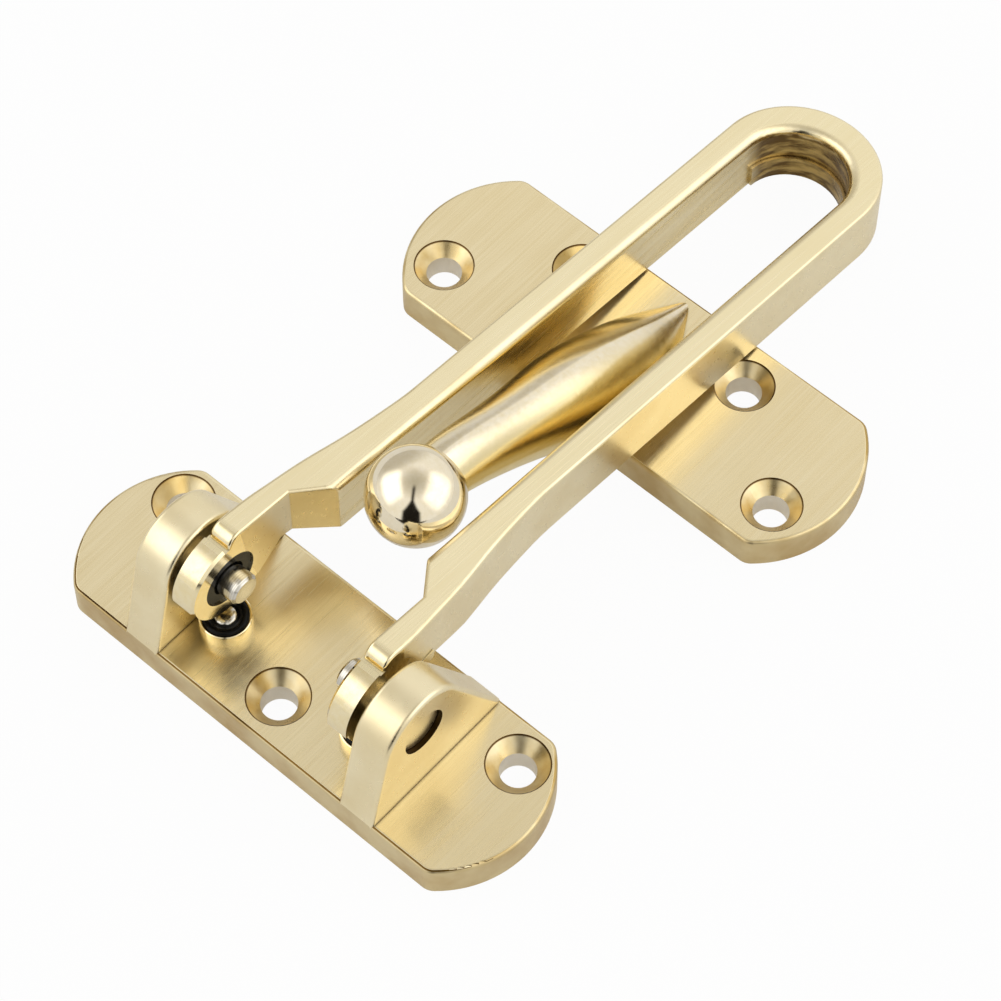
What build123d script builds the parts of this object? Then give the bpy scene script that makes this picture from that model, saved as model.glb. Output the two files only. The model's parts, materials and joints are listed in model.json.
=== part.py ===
import os
from math import cos, radians, sin, tan

from build123d import *

# Swing bar door guard: a hinge plate with a U-shaped swing bar, and a strike plate with a ball on a horn.
# Millimetres. The plates' backs lie on z = 0, +X runs along the plates, +Y from the hinge to the loop end.

# Fits
PRESS = 0.02          # overlap of a pressed pair, on the radius
RUNNING = 0.05        # pin in the knuckle's bore, on the radius
SIDE_GAP = 1.1        # between a lug and its knuckle
HEAD_GAP = 0.15       # round the pin's head in its recess

# Screw holes, shared by both plates
SCREW_R = 2.6
SINK_ANGLE = 90
EDGE_ROUND = 0.6
CORNER_ROUND = 2.5

# Hinge plate
HINGE_L = 77.9
HINGE_W = 25.8
HINGE_T = 5.5
HINGE_STRAIGHT = 65.2     # length of the straight long edges
HINGE_SINK_R = 4.57
HINGE_END_X = 31.0
HINGE_END_Y = 7.15
HINGE_MID_Y = -6.6

# Lugs and pivot
PIVOT_Y = -2.3
PIVOT_Z = 17.8
LUG_R = 7.4
LUG_IN = 16.8
LUG_T = 6.1
LUG_ROUND = 0.7
PIN_R = 2.4
PIN_STICK_OUT = 2.9       # pin end past the knuckle's inner face
PIN_CHAMFER = 0.4
HEAD_R = 3.45
HEAD_T = 1.2
HEAD_SINK = 0.8           # head below the lug's outer face

# Swing bar: walls upright, top and bottom faces sloping down from the pivot to the loop end
BAR_SLOPE = 7.3           # degrees
BAR_TOP = 9.0             # top face above the pivot
BAR_H = 10.3
BAR_OUT = 12.4            # half width over the parallel legs
BAR_IN = 8.0              # half width of the slot
BAR_END = 116.0
SLOT_END = 110.9
LEG_START = -2.0
LEG_END_ROUND = 2.2
NOTCH_START = 9.7
NOTCH_END = 15.0
SPLAY_FROM = 35.0
SPLAY = ((12.8, 28.4), (13.6, 21.4), (14.65, 14.8), (15.3, 8.5))   # outer edge (x, y)
SPLAY_TO = 2.0
ARMPIT_Y = 7.6
ARMPIT_Z = 16.5
WEB_FOOT = (2.8, 12.9)    # web meets the knuckle (y, z)
BAR_ROUND = 0.5           # outer rims of the top face
SLOT_ROUND = 1.4          # rims of the slot and loop end
LEDGE_IN = 0.5            # ledge at the foot of the loop end's inner wall
LEDGE_H = 4.0

# Knuckles
KNUCKLE_T = 3.65
KNUCKLE_R = 6.8
KNUCKLE_CHAMFER = 0.4
BAND_R = 7.3
BAND_FROM = 93            # degrees round the pivot, up from +Y
BAND_TO = 184
RING_R = 4.5
RING_T = 0.9
RING_SINK = 0.3           # ring below the knuckle's inner face
RING_HOLE_GAP = 0.35      # ring to pin

# Strike plate
STRIKE_L = 76.9
STRIKE_W = 26.5
STRIKE_T = 5.5
STRIKE_STRAIGHT = 64.0
STRIKE_Y = 67.05
STRIKE_SINK_R = 4.44
STRIKE_FRONT_X = 30.65
STRIKE_FRONT_Y = 61.0
STRIKE_BACK_X = 15.2
STRIKE_BACK_Y = 73.75

# Ball and horn: axis points (y, z), downward slope in degrees, and radius
BALL_Y = 21.5
BALL_Z = 22.9
BALL_R = 7.05
HORN = (
    (24.0, 23.2, 8.0, 4.15),
    (29.0, 22.3, 17.0, 4.4),
    (36.0, 19.3, 24.5, 4.85),
    (43.2, 15.9, 25.4, 5.6),
    (50.4, 12.5, 25.4, 6.6),
    (56.5, 9.6, 25.4, 6.9),
    (62.5, 6.7, 24.0, 6.7),
    (67.8, 4.5, 19.0, 6.1),
    (72.2, 3.8, 10.0, 4.7),
    (76.0, 4.0, 4.0, 2.8),
    (79.8, 4.2, 0.0, 1.0),
)

LUG_OUT = LUG_IN + LUG_T
KNUCKLE_OUT = LUG_IN - SIDE_GAP
KNUCKLE_IN = KNUCKLE_OUT - KNUCKLE_T
HEAD_DEPTH = HEAD_T + HEAD_SINK
HEAD_FLOOR = LUG_OUT - HEAD_DEPTH
RING_DEPTH = RING_T + RING_SINK
LOOP_Y = SLOT_END - BAR_IN    # centre of the slot's round end
PAST_END = BAR_END + BAR_ROUND

os.makedirs("parts", exist_ok=True)


def plate_outline(length, width, straight):
    """Closed outline of a plate whose ends are shallow arcs with rounded corners."""
    with BuildSketch() as outline:
        with BuildLine():
            Line((-straight / 2, -width / 2), (straight / 2, -width / 2))
            ThreePointArc((straight / 2, -width / 2), (length / 2, 0), (straight / 2, width / 2))
            Line((straight / 2, width / 2), (-straight / 2, width / 2))
            ThreePointArc((-straight / 2, width / 2), (-length / 2, 0), (-straight / 2, -width / 2))
        make_face()
        fillet(outline.vertices(), CORNER_ROUND)
    return outline.sketch


# Hinge plate, one casting with its two lugs
with BuildPart() as hinge_plate:
    add(plate_outline(HINGE_L, HINGE_W, HINGE_STRAIGHT))
    extrude(amount=HINGE_T)
    fillet(hinge_plate.faces().sort_by(Axis.Z)[-1].edges(), EDGE_ROUND)
    with BuildPart(mode=Mode.PRIVATE) as lugs:
        with BuildSketch(Plane.YZ.offset(LUG_IN), Plane.YZ.offset(-LUG_OUT)):
            with Locations((PIVOT_Y, PIVOT_Z)):
                Circle(LUG_R)
            with Locations((0, HINGE_T / 2)):
                Rectangle(HINGE_W, HINGE_T)
            make_hull()
        extrude(amount=LUG_T)
        rims = lugs.edges().filter_by(lambda edge: edge.center().Z > HINGE_T + 1)
        fillet(rims.filter_by(Axis.X, reverse=True), LUG_ROUND)
    add(lugs.part)
    with Locations(
        (HINGE_END_X, HINGE_END_Y, HINGE_T),
        (-HINGE_END_X, HINGE_END_Y, HINGE_T),
        (0, HINGE_MID_Y, HINGE_T),
    ):
        CounterSinkHole(SCREW_R, HINGE_SINK_R, counter_sink_angle=SINK_ANGLE)
    with BuildSketch(Plane.YZ.offset(-LUG_OUT)):
        with Locations((PIVOT_Y, PIVOT_Z)):
            Circle(PIN_R - PRESS)
    extrude(amount=2 * LUG_OUT, mode=Mode.SUBTRACT)
    with BuildSketch(Plane.YZ.offset(HEAD_FLOOR), Plane.YZ.offset(-LUG_OUT)):
        with Locations((PIVOT_Y, PIVOT_Z)):
            Circle(HEAD_R + HEAD_GAP)
    extrude(amount=HEAD_DEPTH, mode=Mode.SUBTRACT)
hinge_plate.part.label = "hinge_plate"
export_step(hinge_plate.part, "parts/hinge_plate.step")


def bar_top(y):
    """Height of the bar's top face."""
    return PIVOT_Z + BAR_TOP - (y - PIVOT_Y) * tan(radians(BAR_SLOPE))


def bar_bottom(y):
    """Height of the bar's bottom face."""
    return bar_top(y) - BAR_H


def bar_rims(bar):
    """Edges of the bar's top face that run along it."""
    top_faces = bar.faces().filter_by(lambda face: face.normal_at().Z > 0.9)
    return top_faces.edges().filter_by(Axis.X, reverse=True)


# Swing bar, one casting with its two knuckles
with BuildPart() as swing_bar:
    with BuildSketch() as plan:
        with BuildLine():
            Polyline(
                (KNUCKLE_OUT, LEG_START),
                (KNUCKLE_IN, LEG_START),
                (KNUCKLE_IN, NOTCH_START),
                (BAR_IN, NOTCH_END),
                (BAR_IN, LOOP_Y),
            )
            CenterArc((0, LOOP_Y), BAR_IN, 0, 90)
            Line((0, SLOT_END), (0, BAR_END))
            CenterArc((0, BAR_END - BAR_OUT), BAR_OUT, 0, 90)
            Line((BAR_OUT, BAR_END - BAR_OUT), (BAR_OUT, SPLAY_FROM))
            Spline(
                (BAR_OUT, SPLAY_FROM),
                *SPLAY,
                (KNUCKLE_OUT, SPLAY_TO),
                tangents=((0, -1), (0, -1)),
            )
            Line((KNUCKLE_OUT, SPLAY_TO), (KNUCKLE_OUT, LEG_START))
        make_face()
        mirror(about=Plane.YZ)
    extrude(amount=2 * PIVOT_Z)
    with BuildSketch(Plane.YZ) as profile:
        with BuildLine():
            Polyline(
                (LEG_START, bar_top(LEG_START)),
                (PAST_END, bar_top(PAST_END)),
                (PAST_END, bar_bottom(PAST_END)),
                (NOTCH_END, bar_bottom(NOTCH_END)),
                (ARMPIT_Y, ARMPIT_Z),
                (LEG_START, ARMPIT_Z),
                close=True,
            )
        make_face()
        fillet(profile.vertices().group_by(Axis.X)[0].sort_by(Axis.Y)[-1], LEG_END_ROUND)
    extrude(amount=LUG_OUT, both=True, mode=Mode.INTERSECT)
    slot_rims = bar_rims(swing_bar).filter_by(
        lambda edge: abs(abs(edge.center().X) - BAR_IN) < 0.01
    )
    fillet(slot_rims, SLOT_ROUND)
    outer_rims = bar_rims(swing_bar).filter_by(
        lambda edge: abs(edge.center().X) > BAR_IN + SLOT_ROUND + 0.01
    )
    fillet(outer_rims, BAR_ROUND)
    with BuildPart(mode=Mode.PRIVATE) as ledge:
        with BuildSketch():
            with Locations((0, LOOP_Y)):
                Circle(BAR_OUT - BAR_ROUND)
                Circle(BAR_IN - LEDGE_IN, mode=Mode.SUBTRACT)
                Rectangle(2 * BAR_OUT, BAR_OUT, align=(Align.CENTER, Align.MAX), mode=Mode.SUBTRACT)
        extrude(amount=2 * PIVOT_Z)
        with BuildSketch(Plane.YZ):
            with BuildLine():
                Polyline(
                    (0, bar_bottom(0)),
                    (BAR_END, bar_bottom(BAR_END)),
                    (BAR_END, bar_bottom(BAR_END) + LEDGE_H),
                    (0, bar_bottom(0) + LEDGE_H),
                    close=True,
                )
            make_face()
        extrude(amount=BAR_OUT, both=True, mode=Mode.INTERSECT)
    add(ledge.part)
    with BuildSketch(Plane.YZ.offset(KNUCKLE_IN), Plane.YZ.offset(-KNUCKLE_OUT)):
        with Locations((PIVOT_Y, PIVOT_Z)):
            Circle(KNUCKLE_R)
            with BuildLine():
                CenterArc((PIVOT_Y, PIVOT_Z), BAND_R, BAND_FROM, BAND_TO - BAND_FROM)
                PolarLine((PIVOT_Y, PIVOT_Z), BAND_R, BAND_FROM)
                PolarLine((PIVOT_Y, PIVOT_Z), BAND_R, BAND_TO)
            make_face()
        Polygon((PIVOT_Y, PIVOT_Z), WEB_FOOT, (ARMPIT_Y, ARMPIT_Z), (ARMPIT_Y, PIVOT_Z), align=None)
    extrude(amount=KNUCKLE_T)
    band_rims = swing_bar.edges().filter_by(GeomType.CIRCLE).filter_by(
        lambda edge: abs(edge.radius - BAND_R) < 0.01 and abs(abs(edge.center().X) - KNUCKLE_IN) < 0.01
    )
    chamfer(band_rims, KNUCKLE_CHAMFER)
    with BuildSketch(Plane.YZ.offset(-KNUCKLE_OUT)):
        with Locations((PIVOT_Y, PIVOT_Z)):
            Circle(PIN_R + RUNNING)
    extrude(amount=2 * KNUCKLE_OUT, mode=Mode.SUBTRACT)
    with BuildSketch(Plane.YZ.offset(KNUCKLE_IN), Plane.YZ.offset(-KNUCKLE_IN - RING_DEPTH)):
        with Locations((PIVOT_Y, PIVOT_Z)):
            Circle(RING_R)
    extrude(amount=RING_DEPTH, mode=Mode.SUBTRACT)
swing_bar.part.label = "swing_bar"
export_step(swing_bar.part, "parts/swing_bar.step")

# Right and left hinge pins, headed at the lug's outer face
for name, side in (("left_hinge_pin", -1), ("right_hinge_pin", 1)):
    with BuildPart() as hinge_pin:
        with BuildSketch(Plane.YZ.offset(side * (KNUCKLE_IN - PIN_STICK_OUT))):
            with Locations((PIVOT_Y, PIVOT_Z)):
                Circle(PIN_R)
        extrude(amount=side * (HEAD_FLOOR - KNUCKLE_IN + PIN_STICK_OUT))
        chamfer(hinge_pin.faces().sort_by(Axis.X, reverse=side < 0)[0].edges(), PIN_CHAMFER)
        with BuildSketch(Plane.YZ.offset(side * HEAD_FLOOR)):
            with Locations((PIVOT_Y, PIVOT_Z)):
                Circle(HEAD_R)
        extrude(amount=side * HEAD_T)
    hinge_pin.part.label = name
    export_step(hinge_pin.part, f"parts/{name}.step")

# Black rings sunk in the knuckles' inner faces, round the pins
for name, start in (
    ("left_friction_ring", -KNUCKLE_IN - RING_DEPTH),
    ("right_friction_ring", KNUCKLE_IN + RING_SINK),
):
    with BuildPart() as friction_ring:
        with BuildSketch(Plane.YZ.offset(start)):
            with Locations((PIVOT_Y, PIVOT_Z)):
                Circle(RING_R + PRESS)
                Circle(PIN_R + RING_HOLE_GAP, mode=Mode.SUBTRACT)
        extrude(amount=RING_T)
    friction_ring.part.label = name
    export_step(friction_ring.part, f"parts/{name}.step")

# Strike plate, one casting with its horn and ball
with BuildPart() as strike_plate:
    for axis_y, axis_z, slope, radius in HORN:
        with BuildSketch(
            Plane(
                origin=(0, axis_y, axis_z),
                x_dir=(1, 0, 0),
                z_dir=(0, cos(radians(slope)), -sin(radians(slope))),
            )
        ):
            Circle(radius)
    loft()
    split(bisect_by=Plane.XY, keep=Keep.TOP)
    with Locations((0, BALL_Y, BALL_Z)):
        Sphere(BALL_R)
    with BuildPart(mode=Mode.PRIVATE) as base:
        with Locations((0, STRIKE_Y, 0)):
            add(plate_outline(STRIKE_L, STRIKE_W, STRIKE_STRAIGHT))
        extrude(amount=STRIKE_T)
        fillet(base.faces().sort_by(Axis.Z)[-1].edges(), EDGE_ROUND)
        with Locations(
            (STRIKE_FRONT_X, STRIKE_FRONT_Y, STRIKE_T),
            (-STRIKE_FRONT_X, STRIKE_FRONT_Y, STRIKE_T),
            (STRIKE_BACK_X, STRIKE_BACK_Y, STRIKE_T),
            (-STRIKE_BACK_X, STRIKE_BACK_Y, STRIKE_T),
        ):
            CounterSinkHole(SCREW_R, STRIKE_SINK_R, counter_sink_angle=SINK_ANGLE)
    add(base.part)
strike_plate.part.label = "strike_plate"
export_step(strike_plate.part, "parts/strike_plate.step")
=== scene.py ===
import json
from math import cos, pi, radians, sin, tan

import bpy
from mathutils import Matrix, Vector


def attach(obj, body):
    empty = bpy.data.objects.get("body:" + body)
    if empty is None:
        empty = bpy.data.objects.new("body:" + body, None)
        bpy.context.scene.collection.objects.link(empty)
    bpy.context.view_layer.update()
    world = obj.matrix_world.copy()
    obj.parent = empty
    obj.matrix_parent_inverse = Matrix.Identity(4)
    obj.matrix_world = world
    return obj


# Swing bar door guard, dressed in pale gold plating, on a white studio table.
# Metres, in the frame of the CAD model: plates' backs on z = 0, +Y from the hinge to the loop end.

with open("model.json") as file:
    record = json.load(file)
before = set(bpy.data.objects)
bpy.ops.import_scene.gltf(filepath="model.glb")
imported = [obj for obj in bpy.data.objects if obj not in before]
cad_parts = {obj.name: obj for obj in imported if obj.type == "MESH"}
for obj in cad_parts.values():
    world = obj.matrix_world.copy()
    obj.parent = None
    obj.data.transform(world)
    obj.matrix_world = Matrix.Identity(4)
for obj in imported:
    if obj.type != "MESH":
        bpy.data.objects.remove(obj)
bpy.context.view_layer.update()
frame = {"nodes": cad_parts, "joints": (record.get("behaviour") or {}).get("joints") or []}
nodes = frame["nodes"]

MM = 0.001

# Places on the object that the finishes follow
PLATE_TOP = 5.5 * MM
HOLES = [Vector(spot) * MM for spot in (
    (31.0, 7.15), (-31.0, 7.15), (0.0, -6.6), (30.65, 61.0), (-30.65, 61.0), (15.2, 73.75), (-15.2, 73.75),
)]
BORE_RADIUS = 2.6 * MM
SINK_RADIUS = 4.65 * MM
PIVOT = Vector(frame["joints"][0]["pos_m"])
RECESS_RADIUS = 3.6 * MM     # for a pin's head, in the lug's outer face
RECESS_FLOOR = 20.9 * MM
BALL = Vector((0.0, 21.5, 22.9)) * MM
BALL_RADIUS = 7.05 * MM
KNUCKLE_END = 2.0 * MM       # where the buffing of the knuckles stops
NOTCH_END = 15.0 * MM
SLOT_HALF = 8.0 * MM
SLOT_RIM = 1.4 * MM
LOOP_CENTRE = 102.9 * MM
STAIN_START = 104.0 * MM
BAR_SLOPE = radians(7.3)
BAR_TOP = 26.5 * MM          # top face of the bar where its plane crosses y = 0
BAR_TOP_LOW = 11.3 * MM      # just below that face at the loop end

# How level a face is, as the upward part of its normal
PLATE_LEVEL = 0.99
BAR_LEVEL = 0.98
RIM_FLATTEST = 0.95
RIM_STEEPEST = 0.75
LOOP_WALL_FLATTEST = 0.8
SLOT_WALL_FLATTEST = 0.35
UPRIGHT = 0.3
FACING_FRONT = -0.2          # the Y part of a normal that looks to the front

# Margins for meshed faces, which lie a little off the true surfaces
CLOSE = 0.05 * MM
BALL_CLOSE = 0.02 * MM
RECESS_CLOSE = 0.1 * MM

# Marks that making and use leave on the surfaces, and painted highlight and shade
SCRATCH_SPACING = 0.3 * MM   # really about 0.05 mm, too fine to show, so drawn coarser
CLOUD_SIZE = 14 * MM
CLOUD_SHARE = 0.4
RIPPLE_SIZE = 5 * MM
HAZE_SIZE = 1.2 * MM
RIDGE_ROUND = 0.25 * MM
# Paler ridge of the horn, fading into its flanks: a painted highlight
FLANK_START = 0.5 * MM
FLANK_FULL = 4.5 * MM
STAIN_SIZE = 9 * MM
SINK_MARK = 2.5 * MM
SINK_RING_LOW = PLATE_TOP - 0.26 * MM
SINK_RING_HIGH = PLATE_TOP - 0.14 * MM
STREAK_SIZE = Vector((4.0, 25.0, 1.2)) * MM
PIT_SIZE = Vector((4.0, 4.0, 1.1)) * MM
PATCH_FADE = 3 * MM
PATCH_RAGGED_ALONG = 5 * MM
PATCH_RAGGED_UP = 4 * MM
PATCH_TOP = BAR_TOP + 1.6 * MM
PATCH_FULL = BAR_TOP + 0.2 * MM
TURNED_RING = 1.1 * MM
RUBBER_GRAIN = 0.4 * MM
# Darkening of the inner corners: painted shade, together with polish and dirt left there
CORNER_SHADE_AND_GRIME_REACH = 0.5 * MM
CORNER_SHADE_AND_GRIME_TONE = "#4A3517"

# Camera
LOOK_AT = Vector((-0.3, 39.0, 0.0)) * MM
AZIMUTH = radians(41.48)
ELEVATION = radians(58.56)
DISTANCE = 532.5 * MM
LENS = 135.84
SENSOR = 36.0


def linear(code):
    """Linear colour of an sRGB hex code."""
    parts = [int(code[i:i + 2], 16) / 255 for i in (1, 3, 5)]
    return [p / 12.92 if p <= 0.04045 else ((p + 0.055) / 1.055) ** 2.4 for p in parts] + [1.0]


def add(tree, kind, settings=None, inputs=None):
    """Adds a node, sets its properties, and fills its inputs with values or links."""
    node = tree.nodes.new(kind)
    for name, value in (settings or {}).items():
        setattr(node, name, value)
    for name, value in (inputs or {}).items():
        if isinstance(value, bpy.types.NodeSocket):
            tree.links.new(value, node.inputs[name])
        else:
            node.inputs[name].default_value = value
    return node


def bare_material(name):
    """A new material, its empty node tree, and the socket that gives the place on the object."""
    material = bpy.data.materials.new(name)
    material.use_nodes = True
    tree = material.node_tree
    tree.nodes.clear()
    return material, tree, add(tree, "ShaderNodeTexCoord").outputs["Object"]


def toned(tree, pattern, low, high, start, end, course="LINEAR"):
    """A colour that goes from start to end while the pattern goes from low to high."""
    share = add(tree, "ShaderNodeMapRange", {"interpolation_type": course}, {
        "Value": pattern, "From Min": low, "From Max": high,
    }).outputs["Result"]
    return add(tree, "ShaderNodeMix", {"data_type": "RGBA"}, {"Factor": share, 6: start, 7: end}).outputs[2]


def shaded_and_grimed(tree, colour):
    """The colour, darkened in the inner corners by their ambient occlusion: painted shade, with the polish
    and dirt left there.
    """
    openness = add(tree, "ShaderNodeAmbientOcclusion", {"samples": 4, "only_local": True}, {
        "Distance": CORNER_SHADE_AND_GRIME_REACH,
    }).outputs["AO"]
    return toned(tree, openness, low=0.8, high=0.55, start=colour, end=linear(CORNER_SHADE_AND_GRIME_TONE))


def brushed_plating(name, pale, deep, run, rough_from, rough_to):
    """Gold-plated zinc, brushed along Y: parallel scratches draw the light out sideways in soft streaks."""
    material, tree, place = bare_material(name)
    along = add(tree, "ShaderNodeMapping", inputs={
        "Vector": place, "Scale": (1 / SCRATCH_SPACING, 1 / run, 1 / run),
    }).outputs["Vector"]
    scratches = add(tree, "ShaderNodeTexNoise", inputs={
        "Vector": along, "Scale": 1.0, "Detail": 4.0, "Roughness": 0.65,
    }).outputs["Fac"]
    clouds = add(tree, "ShaderNodeTexNoise", inputs={
        "Vector": place, "Scale": 1 / CLOUD_SIZE, "Detail": 2.0,
    }).outputs["Fac"]
    cloudy = add(tree, "ShaderNodeMath", {"operation": "MULTIPLY"}, {0: clouds, 1: CLOUD_SHARE}).outputs[0]
    mixed = add(tree, "ShaderNodeMath", {"operation": "MULTIPLY_ADD"}, {
        0: scratches, 1: 1 - CLOUD_SHARE, 2: cloudy,
    }).outputs[0]
    # Darker in the inner corners: painted shade, with polish and dirt
    colour = shaded_and_grimed(tree, toned(tree, mixed, low=0.35, high=0.65, start=linear(deep), end=linear(pale)))
    roughness = add(tree, "ShaderNodeMapRange", inputs={
        "Value": scratches, "From Min": 0.3, "From Max": 0.7, "To Min": rough_to, "To Max": rough_from,
    }).outputs["Result"]
    dents = add(tree, "ShaderNodeBump", inputs={
        "Strength": 0.15, "Distance": 0.02 * MM, "Height": scratches,
    }).outputs["Normal"]
    sideways = add(tree, "ShaderNodeVectorTransform", {
        "vector_type": "VECTOR", "convert_from": "OBJECT", "convert_to": "WORLD",
    }, {"Vector": add(tree, "ShaderNodeCombineXYZ", inputs={"X": 1.0}).outputs[0]}).outputs[0]
    metal = add(tree, "ShaderNodeBsdfPrincipled", inputs={
        "Base Color": colour, "Metallic": 1.0, "Roughness": roughness, "Anisotropic": 0.6,
        "Normal": dents, "Tangent": sideways,
    }).outputs["BSDF"]
    add(tree, "ShaderNodeOutputMaterial", inputs={"Surface": metal})
    return material


def polished_plating(name, pale, deep, rough_from, rough_to, crown=0.0, flank=None):
    """Gold-plated zinc, buffed: clear or soft reflections with a faint ripple from the casting under it.

    A crown above 0 leans both flanks away from a soft ridge along x = 0, where the mould's halves met. The
    ridge is coloured paler than the flanks, which have a colour of their own: a painted highlight along it.
    """
    material, tree, place = bare_material(name)
    ripple = add(tree, "ShaderNodeTexNoise", inputs={
        "Vector": place, "Scale": 1 / RIPPLE_SIZE, "Detail": 1.0,
    }).outputs["Fac"]
    haze = add(tree, "ShaderNodeTexNoise", inputs={
        "Vector": place, "Scale": 1 / HAZE_SIZE, "Detail": 4.0, "Roughness": 0.7,
    }).outputs["Fac"]
    colour = toned(tree, haze, low=0.3, high=0.7, start=linear(deep), end=linear(pale))
    roughness = add(tree, "ShaderNodeMapRange", inputs={
        "Value": haze, "From Min": 0.3, "From Max": 0.75, "To Min": rough_from, "To Max": rough_to,
    }).outputs["Result"]
    relief = {"Strength": 0.3, "Distance": 0.03 * MM, "Height": ripple}
    if crown:
        across = add(tree, "ShaderNodeSeparateXYZ", inputs={"Vector": place}).outputs["X"]
        squared = add(tree, "ShaderNodeMath", {"operation": "MULTIPLY_ADD"}, {
            0: across, 1: across, 2: RIDGE_ROUND ** 2,
        }).outputs[0]
        from_ridge = add(tree, "ShaderNodeMath", {"operation": "SQRT"}, {0: squared}).outputs[0]
        # Paler towards the ridge: a painted highlight
        colour = toned(tree, from_ridge, FLANK_START, FLANK_FULL, colour, linear(flank), "SMOOTHSTEP")
        drop = add(tree, "ShaderNodeMath", {"operation": "MULTIPLY"}, {0: from_ridge, 1: -crown}).outputs[0]
        relief["Normal"] = add(tree, "ShaderNodeBump", inputs={
            "Strength": 1.0, "Distance": 1.0, "Height": drop,
        }).outputs["Normal"]
    dents = add(tree, "ShaderNodeBump", inputs=relief).outputs["Normal"]
    metal = add(tree, "ShaderNodeBsdfPrincipled", inputs={
        "Base Color": colour, "Metallic": 1.0, "Roughness": roughness, "Normal": dents,
    }).outputs["BSDF"]
    add(tree, "ShaderNodeOutputMaterial", inputs={"Surface": metal})
    return material


def cast_plating(name, pale, deep, grain, depth, rough_from, rough_to):
    """Gold-plated zinc, as cast and tumbled: a slightly pitted wall that blurs what it mirrors."""
    material, tree, place = bare_material(name)
    pits = add(tree, "ShaderNodeTexNoise", inputs={
        "Vector": place, "Scale": 1 / grain, "Detail": 5.0, "Roughness": 0.6,
    }).outputs["Fac"]
    stains = add(tree, "ShaderNodeTexNoise", inputs={
        "Vector": place, "Scale": 1 / STAIN_SIZE, "Detail": 3.0,
    }).outputs["Fac"]
    # Darker in the inner corners: painted shade, with polish and dirt
    colour = shaded_and_grimed(tree, toned(tree, stains, low=0.35, high=0.6, start=linear(deep), end=linear(pale)))
    roughness = add(tree, "ShaderNodeMapRange", inputs={
        "Value": pits, "From Min": 0.3, "From Max": 0.7, "To Min": rough_from, "To Max": rough_to,
    }).outputs["Result"]
    dents = add(tree, "ShaderNodeBump", inputs={
        "Strength": 0.5, "Distance": depth, "Height": pits,
    }).outputs["Normal"]
    metal = add(tree, "ShaderNodeBsdfPrincipled", inputs={
        "Base Color": colour, "Metallic": 1.0, "Roughness": roughness, "Normal": dents,
    }).outputs["BSDF"]
    add(tree, "ShaderNodeOutputMaterial", inputs={"Surface": metal})
    return material


def sunk_plating(name, pale, deep, ring):
    """Gold-plated zinc turned by the countersink: satin cone with a thin dark ring at its rim."""
    material, tree, place = bare_material(name)
    marks = add(tree, "ShaderNodeTexNoise", inputs={
        "Vector": place, "Scale": 1 / SINK_MARK, "Detail": 3.0,
    }).outputs["Fac"]
    cone = toned(tree, marks, low=0.35, high=0.65, start=linear(deep), end=linear(pale))
    height = add(tree, "ShaderNodeSeparateXYZ", inputs={"Vector": place}).outputs["Z"]
    colour = toned(tree, height, SINK_RING_LOW, SINK_RING_HIGH, cone, linear(ring))
    roughness = add(tree, "ShaderNodeMapRange", inputs={
        "Value": marks, "From Min": 0.3, "From Max": 0.7, "To Min": 0.26, "To Max": 0.36,
    }).outputs["Result"]
    metal = add(tree, "ShaderNodeBsdfPrincipled", inputs={
        "Base Color": colour, "Metallic": 1.0, "Roughness": roughness,
    }).outputs["BSDF"]
    add(tree, "ShaderNodeOutputMaterial", inputs={"Surface": metal})
    return material


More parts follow.
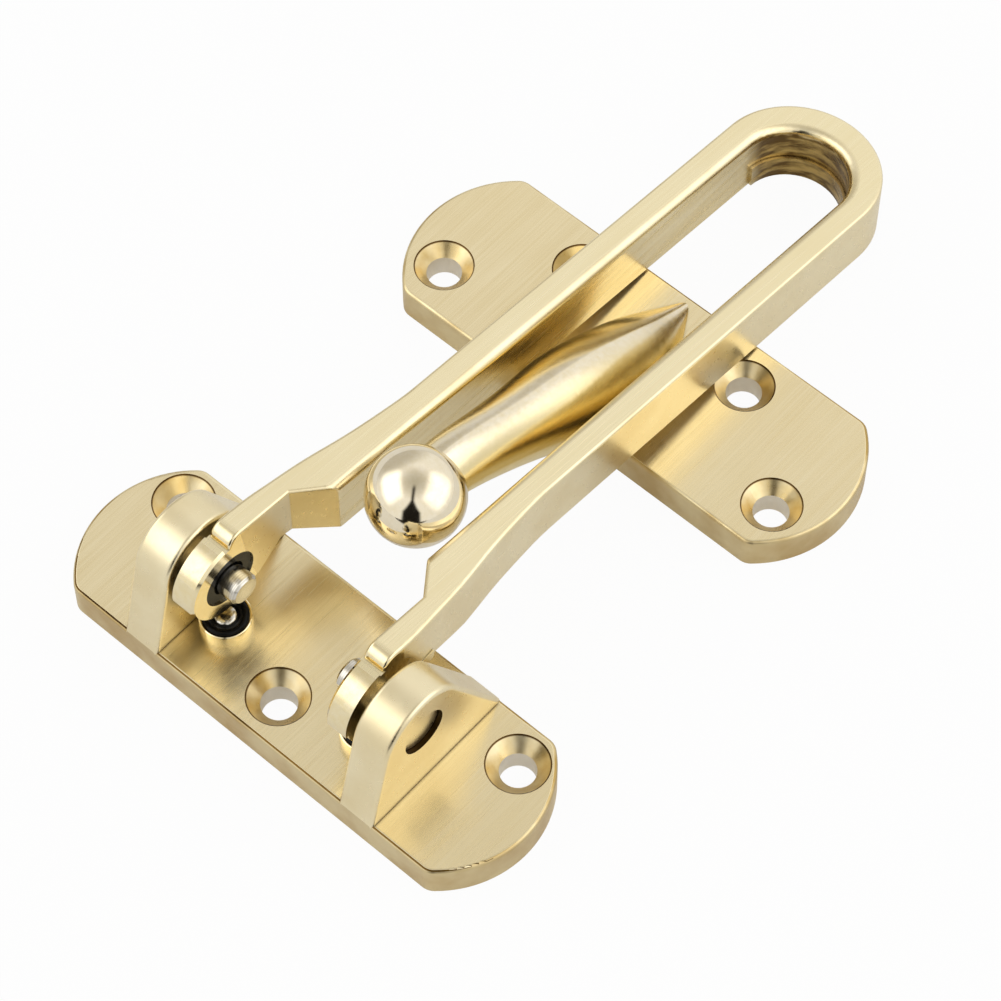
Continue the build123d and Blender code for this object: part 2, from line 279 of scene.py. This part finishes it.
def slot_plating(name, pale, deep, patch_pale, patch_deep):
    """Gold-plated zinc as it left the mould: dull streaks along the slot, a dark pitted patch at its end."""
    material, tree, place = bare_material(name)
    streaks = add(tree, "ShaderNodeTexNoise", inputs={
        "Vector": add(tree, "ShaderNodeMapping", inputs={
            "Vector": place, "Scale": [1 / size for size in STREAK_SIZE],
        }).outputs["Vector"],
        "Scale": 1.0, "Detail": 3.0,
    }).outputs["Fac"]
    pits = add(tree, "ShaderNodeTexNoise", inputs={
        "Vector": add(tree, "ShaderNodeMapping", inputs={
            "Vector": place, "Scale": [1 / size for size in PIT_SIZE],
        }).outputs["Vector"],
        "Scale": 1.0, "Detail": 4.0, "Roughness": 0.55,
    }).outputs["Fac"]
    # The patch has a ragged edge, because the pits push it to and fro
    along = add(tree, "ShaderNodeMath", {"operation": "MULTIPLY_ADD"}, {
        0: pits,
        1: PATCH_RAGGED_ALONG,
        2: add(tree, "ShaderNodeSeparateXYZ", inputs={"Vector": place}).outputs["Y"],
    }).outputs[0]
    far_end = add(tree, "ShaderNodeMapRange", inputs={
        "Value": along, "From Min": STAIN_START, "From Max": STAIN_START + PATCH_FADE,
    }).outputs["Result"]
    level = add(tree, "ShaderNodeVectorMath", {"operation": "DOT_PRODUCT"}, {
        0: place, 1: (0.0, tan(BAR_SLOPE), 1.0),
    }).outputs["Value"]
    upward = add(tree, "ShaderNodeMath", {"operation": "MULTIPLY_ADD"}, {
        0: pits, 1: PATCH_RAGGED_UP, 2: level,
    }).outputs[0]
    below_rim = add(tree, "ShaderNodeMapRange", inputs={
        "Value": upward, "From Min": PATCH_TOP, "From Max": PATCH_FULL,
    }).outputs["Result"]
    patched = add(tree, "ShaderNodeMath", {"operation": "MULTIPLY"}, {0: far_end, 1: below_rim}).outputs[0]
    clean = toned(tree, streaks, low=0.35, high=0.65, start=linear(deep), end=linear(pale))
    patch = toned(tree, pits, low=0.4, high=0.65, start=linear(patch_deep), end=linear(patch_pale))
    colour = add(tree, "ShaderNodeMix", {"data_type": "RGBA"}, {
        "Factor": patched, 6: clean, 7: patch,
    }).outputs[2]
    roughness = add(tree, "ShaderNodeMapRange", inputs={
        "Value": streaks, "From Min": 0.3, "From Max": 0.7, "To Min": 0.3, "To Max": 0.2,
    }).outputs["Result"]
    dents = add(tree, "ShaderNodeBump", inputs={
        "Strength": patched, "Distance": 0.12 * MM, "Height": pits,
    }).outputs["Normal"]
    metal = add(tree, "ShaderNodeBsdfPrincipled", inputs={
        "Base Color": colour, "Metallic": 1.0, "Roughness": roughness, "Normal": dents,
    }).outputs["BSDF"]
    add(tree, "ShaderNodeOutputMaterial", inputs={"Surface": metal})
    return material


def turned_steel(name, pale, deep):
    """Bright turned steel: clear reflections, with fine rings about the middle of the pins' axis."""
    material, tree, place = bare_material(name)
    centred = add(tree, "ShaderNodeMapping", {"vector_type": "POINT"}, {
        "Vector": place, "Location": (0.0, -PIVOT.y, -PIVOT.z),
    }).outputs["Vector"]
    rings = add(tree, "ShaderNodeTexWave", {
        "wave_type": "RINGS", "rings_direction": "SPHERICAL",
    }, {"Vector": centred, "Scale": 1 / TURNED_RING, "Distortion": 1.0, "Detail": 2.0}).outputs["Fac"]
    colour = add(tree, "ShaderNodeMix", {"data_type": "RGBA"}, {
        "Factor": rings, 6: linear(deep), 7: linear(pale),
    }).outputs[2]
    dents = add(tree, "ShaderNodeBump", inputs={
        "Strength": 0.1, "Distance": 0.006 * MM, "Height": rings,
    }).outputs["Normal"]
    metal = add(tree, "ShaderNodeBsdfPrincipled", inputs={
        "Base Color": colour, "Metallic": 1.0, "Roughness": 0.18, "Normal": dents,
    }).outputs["BSDF"]
    add(tree, "ShaderNodeOutputMaterial", inputs={"Surface": metal})
    return material


def moulded_rubber(name, pale, deep):
    """Moulded black rubber: near black, with small soft glints."""
    material, tree, place = bare_material(name)
    grain = add(tree, "ShaderNodeTexNoise", inputs={
        "Vector": place, "Scale": 1 / RUBBER_GRAIN, "Detail": 3.0,
    }).outputs["Fac"]
    colour = add(tree, "ShaderNodeMix", {"data_type": "RGBA"}, {
        "Factor": grain, 6: linear(deep), 7: linear(pale),
    }).outputs[2]
    dents = add(tree, "ShaderNodeBump", inputs={
        "Strength": 0.3, "Distance": 0.03 * MM, "Height": grain,
    }).outputs["Normal"]
    rubber = add(tree, "ShaderNodeBsdfPrincipled", inputs={
        "Base Color": colour, "Roughness": 0.22, "Specular IOR Level": 0.12, "Normal": dents,
    }).outputs["BSDF"]
    add(tree, "ShaderNodeOutputMaterial", inputs={"Surface": rubber})
    return material


# Tops of the plates: a satin sheen in short streaks
brushed_plate = brushed_plating(
    "gold_plated_zinc_brushed_plate", pale="#F3E5BE", deep="#ECDBAE", run=18 * MM,
    rough_from=0.19, rough_to=0.29,
)
# Top of the bar: a paler sheen in long streaks
brushed_bar = brushed_plating(
    "gold_plated_zinc_brushed_bar", pale="#F7EBC5", deep="#F4E6BC", run=30 * MM,
    rough_from=0.24, rough_to=0.34,
)
# Ball: a clear mirror
mirrored = polished_plating(
    "gold_plated_zinc_mirror_polished", pale="#F5EBD4", deep="#EFE2C4", rough_from=0.06, rough_to=0.11,
)
# Horn: a soft gleam, with a painted highlight that makes it palest along its ridge
horn_buffed = polished_plating(
    "gold_plated_zinc_buffed_horn", pale="#F6ECD6", deep="#EFE1C0", rough_from=0.18, rough_to=0.26,
    crown=0.22, flank="#F2DFA6",
)
# Knuckles and friction posts: nearly clear reflections
buffed = polished_plating(
    "gold_plated_zinc_buffed", pale="#F5E8C4", deep="#EFDEAE", rough_from=0.1, rough_to=0.16,
)
# Countersinks: a satin cone in a thin dark ring
sunk = sunk_plating("gold_plated_zinc_countersunk", pale="#F2E2B8", deep="#E2CA92", ring="#5A401A")
# Lugs, plates' backs, pin heads and the bar's outer walls: an even, blurred gleam
tumbled = cast_plating(
    "gold_plated_zinc_tumbled", pale="#F5E8C3", deep="#EDDDB3", grain=0.9 * MM, depth=0.006 * MM,
    rough_from=0.26, rough_to=0.34,
)
# Edges of the plates: duller than their tops, and painted browner as shade
shaded_edge = cast_plating(
    "gold_plated_zinc_edge_painted_shade", pale="#DECDA1", deep="#C6AC77", grain=0.9 * MM, depth=0.01 * MM,
    rough_from=0.3, rough_to=0.4,
)
# Front rim of the hinge plate: coloured as a dark line
front_rim = cast_plating(
    "gold_plated_zinc_front_rim", pale="#765A2A", deep="#38270F", grain=0.9 * MM, depth=0.01 * MM,
    rough_from=0.3, rough_to=0.4,
)
# Other rims of the plates: a bright line with darker stretches
rubbed_rim = cast_plating(
    "gold_plated_zinc_rubbed_rim", pale="#F3E4B8", deep="#B59758", grain=0.9 * MM, depth=0.008 * MM,
    rough_from=0.28, rough_to=0.36,
)
# Bores of the screw holes: matt, and painted pale as light from the white table under them
drilled = cast_plating(
    "bore_painted_light", pale="#F8F3E8", deep="#ECE3D0", grain=0.4 * MM, depth=0.006 * MM,
    rough_from=0.45, rough_to=0.55,
)
# Walls of the recesses round the pin heads: dull, and painted dark as shade
recess_shade = cast_plating(
    "recess_painted_shade", pale="#5A4322", deep="#2E210E", grain=0.6 * MM, depth=0.01 * MM,
    rough_from=0.4, rough_to=0.5,
)
# Walls of the slot: clean streaks, and a dark pitted patch round the loop
slot_wall = slot_plating(
    "gold_plated_zinc_as_cast", pale="#F8EBC4", deep="#EFDDAA", patch_pale="#C4A868", patch_deep="#6A532C",
)
# Pins and the posts' buttons: bright bare steel
pin_steel = turned_steel("steel_turned", pale="#DAD6CC", deep="#C9C4B8")
# Friction rings and the posts' pads: near black
ring_rubber = moulded_rubber("rubber_moulded_black", pale="#161514", deep="#0A0A09")


def dress(node, finishes, chosen):
    """Gives a CAD node its finishes, and each face the one that chosen(normal, centre) names."""
    mesh = nodes[node].data
    mesh.materials.clear()
    names = list(finishes)
    for name in names:
        mesh.materials.append(finishes[name])
    for face in mesh.polygons:
        face.material_index = names.index(chosen(face.normal, face.center))


PLATE_FINISHES = {
    "brushed": brushed_plate, "tumbled": tumbled, "edge": shaded_edge, "front_rim": front_rim,
    "rubbed_rim": rubbed_rim, "sunk": sunk, "drilled": drilled, "recess_shade": recess_shade,
}
# The strike's front rim is as bright as its other rims
STRIKE_FINISHES = {**PLATE_FINISHES, "front_rim": rubbed_rim, "mirrored": mirrored, "horn": horn_buffed}
BAR_FINISHES = {"brushed": brushed_bar, "buffed": buffed, "tumbled": tumbled, "slot_wall": slot_wall}
PIN_FINISHES = {"steel": pin_steel, "plated": tumbled}
RING_FINISHES = {"rubber": ring_rubber}


def plate_finish(normal, centre):
    """Brushed top, rim dark in front, edge dull and painted browner as shade, countersunk holes, tumbled
    lugs, recesses painted dark as shade.
    """
    if centre.z < PLATE_TOP + CLOSE and normal.z > PLATE_LEVEL:
        return "brushed"
    for hole in HOLES:
        from_hole = (centre.xy - hole).length
        # Bores: painted pale as light from the table
        if from_hole < BORE_RADIUS + CLOSE and abs(normal.z) < UPRIGHT:
            return "drilled"
        if from_hole < SINK_RADIUS:
            return "sunk"
    if centre.z < PLATE_TOP and RIM_STEEPEST < normal.z < RIM_FLATTEST:
        return "front_rim" if normal.y < FACING_FRONT else "rubbed_rim"
    # Side faces: duller, with painted shade
    if centre.z < PLATE_TOP and abs(normal.z) < RIM_STEEPEST:
        return "edge"
    # The recesses' walls: painted shade
    in_recess = (centre - PIVOT).yz.length < RECESS_RADIUS + RECESS_CLOSE and abs(centre.x) > RECESS_FLOOR
    if in_recess and abs(normal.x) < UPRIGHT:
        return "recess_shade"
    return "tumbled"


def strike_finish(normal, centre):
    """As the hinge plate, with a buffed horn and a mirror-polished ball."""
    if (centre - BALL).length < BALL_RADIUS + BALL_CLOSE:
        return "mirrored"
    if centre.z > PLATE_TOP + CLOSE:
        return "horn"
    return plate_finish(normal, centre)


def bar_finish(normal, centre):
    """Brushed top, slot walls as they left the mould, buffed knuckles, tumbled rims and outer walls."""
    if normal.z > BAR_LEVEL and centre.z > BAR_TOP_LOW:
        return "brushed"
    from_middle = Vector((centre.x, max(centre.y - LOOP_CENTRE, 0))).length
    flattest = LOOP_WALL_FLATTEST if centre.y > LOOP_CENTRE else SLOT_WALL_FLATTEST
    if from_middle < SLOT_HALF + SLOT_RIM and centre.y > NOTCH_END and abs(normal.z) < flattest:
        return "slot_wall"
    if centre.y < KNUCKLE_END:
        return "buffed"
    return "tumbled"


def pin_finish(normal, centre):
    """Plated head, bare steel shank."""
    return "plated" if abs(centre.x) > RECESS_FLOOR - RECESS_CLOSE else "steel"


def ring_finish(normal, centre):
    """Rubber all over."""
    return "rubber"


dress("hinge_plate", PLATE_FINISHES, plate_finish)
dress("strike_plate", STRIKE_FINISHES, strike_finish)
dress("swing_bar", BAR_FINISHES, bar_finish)
for side in ("left", "right"):
    dress(side + "_hinge_pin", PIN_FINISHES, pin_finish)
    dress(side + "_friction_ring", RING_FINISHES, ring_finish)


# Friction posts: on the plate under each knuckle a post, a rubber pad in its top and a steel button in that.
# Each profile is (radius, height above the plate) in millimetres.
POST_X = 13.0 * MM
POST_Y = -3.1 * MM
POST_PROFILE = ((3.75, -0.1), (3.75, 2.25), (3.7, 2.42), (3.55, 2.5), (3.4, 2.45), (3.35, 2.1))
PAD_PROFILE = ((3.33, 2.0), (3.3, 2.5), (3.15, 2.75), (2.8, 2.85), (2.4, 2.75), (2.1, 2.45), (1.9, 2.3))
BUTTON_PROFILE = ((1.7, 2.2), (1.65, 2.5), (1.4, 2.7), (0.8, 2.82), (0.3, 2.85))
TURN_STEPS = 64
SHARP_ANGLE = radians(45)


def turned(name, profile, spot):
    """A closed round piece: the profile turned about the upright axis at that spot."""
    corners = []
    for radius, height in profile:
        for step in range(TURN_STEPS):
            angle = 2 * pi * step / TURN_STEPS
            corners.append(spot + Vector((radius * cos(angle), radius * sin(angle), height)) * MM)
    top = (len(profile) - 1) * TURN_STEPS
    faces = [tuple(reversed(range(TURN_STEPS))), tuple(range(top, top + TURN_STEPS))]
    for ring in range(0, top, TURN_STEPS):
        for step in range(TURN_STEPS):
            after = (step + 1) % TURN_STEPS
            faces.append((ring + step, ring + after, ring + TURN_STEPS + after, ring + TURN_STEPS + step))
    mesh = bpy.data.meshes.new(name)
    mesh.from_pydata(corners, [], faces)
    mesh.shade_smooth()
    mesh.set_sharp_from_angle(angle=SHARP_ANGLE)
    piece = bpy.data.objects.new(name, mesh)
    bpy.context.scene.collection.objects.link(piece)
    return piece


for side, sign in (("left", -1), ("right", 1)):
    for name, profile, material, slot in (
        ("_friction_post", POST_PROFILE, buffed, "satin_brass"),
        ("_post_pad", PAD_PROFILE, ring_rubber, "black_rubber"),
        ("_post_button", BUTTON_PROFILE, pin_steel, "pin_steel"),
    ):
        piece = turned(side + name, profile, Vector((sign * POST_X, POST_Y, PLATE_TOP)))
        piece.data.materials.append(material)
        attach(piece, "base")


# Studio: white table in a white tent that is open in front, a soft box either side
TABLE_HALF = 2.0
TABLE_DROP = 0.05 * MM       # keeps the table clear of the plates' backs
TABLE_GLOW = 0.95            # share of its own light where the camera sees it
TABLE_MIRRORED_GLOW = 0.2    # the same where metal mirrors it
OPENING_AZIMUTH = radians(33)
WEDGE_SLOPE = 1.5            # the dark part of the table is a wedge that points at the object
WEDGE_START = 0.08
WEDGE_FULL = 0.14
TENT_TONES = ((0.0, "#F6F5F3"), (0.5, "#F9F8F5"), (0.74, "#FCFAF7"), (0.86, "#ECE9E5"), (1.0, "#C2BEB3"))
TENT_LIGHT = 0.6
DIM_TONE = "#C6C2BA"
DIM_AZIMUTH = radians(-112)
DIM_ELEVATION = radians(8)
DIM_OUTER = radians(50)
DIM_INNER = radians(12)
SLIT_TONE = "#1C1916"
SLIT_LOW = 0.35              # the slit narrows between these heights
SLIT_HIGH = 0.75
SLIT_HALF_LOW = 0.3
SLIT_HALF_HIGH = 0.04
BOX_DISTANCE = 0.9
BOX_ELEVATION = radians(38)
BOX_FADE = 0.3               # share of a soft box's side that fades out at each end


def direction(azimuth, elevation):
    """Unit vector to that side and height: azimuth 0 is towards -Y, and a quarter turn towards +X."""
    return Vector((sin(azimuth) * cos(elevation), -cos(azimuth) * cos(elevation), sin(elevation)))


def from_opening(tree, vector):
    """How far the vector reaches towards the tent's opening, and how far to either side of that."""
    forward, sideways = [add(tree, "ShaderNodeVectorMath", {"operation": "DOT_PRODUCT"}, {
        0: vector, 1: direction(OPENING_AZIMUTH + turn, 0),
    }).outputs["Value"] for turn in (0, pi / 2)]
    return forward, add(tree, "ShaderNodeMath", {"operation": "ABSOLUTE"}, {0: sideways}).outputs[0]


def by_ray(tree, white, plain, reflected):
    """White where the camera sees it, reflected where metal mirrors it, plain where it lights the object."""
    path = add(tree, "ShaderNodeLightPath").outputs
    lighting = add(tree, "ShaderNodeMixShader", inputs={
        "Fac": path["Is Glossy Ray"], 1: plain, 2: reflected,
    }).outputs[0]
    background = add(tree, "ShaderNodeMath", {"operation": "MAXIMUM"}, {
        0: path["Is Camera Ray"], 1: path["Is Transmission Ray"],
    }).outputs[0]
    return add(tree, "ShaderNodeMixShader", inputs={"Fac": background, 1: lighting, 2: white}).outputs[0]


def table_white(name):
    """White table that keeps a light shadow; metal shows it dark in front, where the tent is open."""
    material, tree, place = bare_material(name)
    lit = add(tree, "ShaderNodeBsdfDiffuse", inputs={"Color": linear("#F4F3F1")}).outputs[0]
    dark = add(tree, "ShaderNodeBsdfDiffuse", inputs={"Color": linear("#26231F")}).outputs[0]
    glow = add(tree, "ShaderNodeEmission", inputs={"Color": linear("#FFFFFF"), "Strength": 1.0}).outputs[0]
    white = add(tree, "ShaderNodeMixShader", inputs={"Fac": TABLE_GLOW, 1: lit, 2: glow}).outputs[0]
    pale = add(tree, "ShaderNodeMixShader", inputs={"Fac": TABLE_MIRRORED_GLOW, 1: lit, 2: glow}).outputs[0]
    forward, aside = from_opening(tree, place)
    wedge = add(tree, "ShaderNodeMath", {"operation": "MULTIPLY_ADD"}, {
        0: aside, 1: -WEDGE_SLOPE, 2: forward,
    }).outputs[0]
    in_front = add(tree, "ShaderNodeMapRange", inputs={
        "Value": wedge, "From Min": WEDGE_START, "From Max": WEDGE_FULL,
    }).outputs["Result"]
    mirrored_table = add(tree, "ShaderNodeMixShader", inputs={"Fac": in_front, 1: pale, 2: dark}).outputs[0]
    add(tree, "ShaderNodeOutputMaterial", inputs={"Surface": by_ray(tree, white, lit, mirrored_table)})
    return material


def white_tent(name):
    """White tent: bright low down, dimmer overhead and behind on the left, with a dark slit at its front."""
    world = bpy.data.worlds.new(name)
    world.use_nodes = True
    tree = world.node_tree
    tree.nodes.clear()
    facing = add(tree, "ShaderNodeTexCoord").outputs["Generated"]
    height = add(tree, "ShaderNodeSeparateXYZ", inputs={"Vector": facing}).outputs["Z"]
    cloth = add(tree, "ShaderNodeValToRGB", inputs={"Fac": height})
    tones = cloth.color_ramp.elements
    tones[0].color = linear(TENT_TONES[0][1])
    tones[1].color = linear(TENT_TONES[-1][1])
    for level, tone in TENT_TONES[1:-1]:
        tones.new(level).color = linear(tone)
    towards_dim = add(tree, "ShaderNodeVectorMath", {"operation": "DOT_PRODUCT"}, {
        0: facing, 1: direction(DIM_AZIMUTH, DIM_ELEVATION),
    }).outputs["Value"]
    dimmed = toned(
        tree, towards_dim, cos(DIM_OUTER), cos(DIM_INNER),
        cloth.outputs["Color"], linear(DIM_TONE), "SMOOTHSTEP",
    )
    forward, aside = from_opening(tree, facing)
    half_width = add(tree, "ShaderNodeMapRange", inputs={
        "Value": height, "From Min": SLIT_LOW, "From Max": SLIT_HIGH,
        "To Min": SLIT_HALF_LOW, "To Max": SLIT_HALF_HIGH,
    }).outputs["Result"]
    past_edge = add(tree, "ShaderNodeMath", {"operation": "SUBTRACT"}, {0: aside, 1: half_width}).outputs[0]
    in_slit = add(tree, "ShaderNodeMath", {"operation": "MULTIPLY"}, {
        0: add(tree, "ShaderNodeMapRange", {"interpolation_type": "SMOOTHSTEP"}, {
            "Value": past_edge, "From Min": 0.08, "From Max": -0.05,
        }).outputs["Result"],
        1: add(tree, "ShaderNodeMapRange", {"interpolation_type": "SMOOTHSTEP"}, {
            "Value": forward, "From Min": 0.05, "From Max": 0.3,
        }).outputs["Result"],
    }).outputs[0]
    opened = add(tree, "ShaderNodeMix", {"data_type": "RGBA"}, {
        "Factor": in_slit, 6: dimmed, 7: linear(SLIT_TONE),
    }).outputs[2]
    inside, plain, white = [add(tree, "ShaderNodeBackground", inputs={
        "Color": colour, "Strength": strength,
    }).outputs[0] for colour, strength in (
        (opened, 1.0), (linear("#FFFFFF"), TENT_LIGHT), (linear("#FFFFFF"), 1.0),
    )]
    add(tree, "ShaderNodeOutputWorld", inputs={"Surface": by_ray(tree, white, plain, inside)})
    return world


def soft_box(name, azimuth, width, height, brightness):
    """A soft box on that side, aimed at the object, fading near its edges."""
    lamp = bpy.data.lights.new(name, "AREA")
    lamp.shape = "RECTANGLE"
    lamp.size = width
    lamp.size_y = height
    lamp.energy = brightness * pi * width * height
    lamp.use_nodes = True
    tree = lamp.node_tree
    tree.nodes.clear()
    across = add(tree, "ShaderNodeSeparateXYZ", inputs={
        "Vector": add(tree, "ShaderNodeNewGeometry").outputs["Parametric"],
    }).outputs
    fades = []
    for axis in "XY":
        from_edge = add(tree, "ShaderNodeMath", {"operation": "PINGPONG"}, {
            0: across[axis], 1: 0.5,
        }).outputs[0]
        fades.append(add(tree, "ShaderNodeMapRange", {"interpolation_type": "SMOOTHSTEP"}, {
            "Value": from_edge, "From Min": 0.0, "From Max": BOX_FADE,
        }).outputs["Result"])
    strength = add(tree, "ShaderNodeMath", {"operation": "MULTIPLY"}, {0: fades[0], 1: fades[1]}).outputs[0]
    glow = add(tree, "ShaderNodeEmission", inputs={"Strength": strength}).outputs[0]
    add(tree, "ShaderNodeOutputLight", inputs={"Surface": glow})
    box = bpy.data.objects.new(name, lamp)
    bpy.context.scene.collection.objects.link(box)
    away = direction(azimuth, BOX_ELEVATION)
    box.location = LOOK_AT + away * BOX_DISTANCE
    box.rotation_euler = (-away).to_track_quat("-Z", "Y").to_euler()


table_corners = [(x * TABLE_HALF, y * TABLE_HALF, 0) for x, y in ((-1, -1), (1, -1), (1, 1), (-1, 1))]
table_mesh = bpy.data.meshes.new("table")
table_mesh.from_pydata(table_corners, [], [(0, 1, 2, 3)])
table_mesh.materials.append(table_white("table_white"))
table = bpy.data.objects.new("table", table_mesh)
bpy.context.scene.collection.objects.link(table)
table.location.z = -TABLE_DROP

bpy.context.scene.world = white_tent("white_tent")
soft_box("left_soft_box", azimuth=radians(-48), width=1.4, height=1.0, brightness=0.85)
soft_box("right_soft_box", azimuth=radians(120), width=1.7, height=1.2, brightness=0.68)

# Camera at the photograph's angle
back = direction(AZIMUTH, ELEVATION)
right = Vector((cos(AZIMUTH), sin(AZIMUTH), 0))
up = back.cross(right)
lens = bpy.data.cameras.new("camera")
lens.sensor_width = SENSOR
lens.lens = LENS
camera = bpy.data.objects.new("camera", lens)
bpy.context.scene.collection.objects.link(camera)
turn = Matrix((right, up, back)).transposed().to_4x4()
camera.matrix_world = Matrix.Translation(LOOK_AT + back * DISTANCE) @ turn
bpy.context.scene.camera = camera
bpy.context.scene.view_settings.view_transform = "Standard"
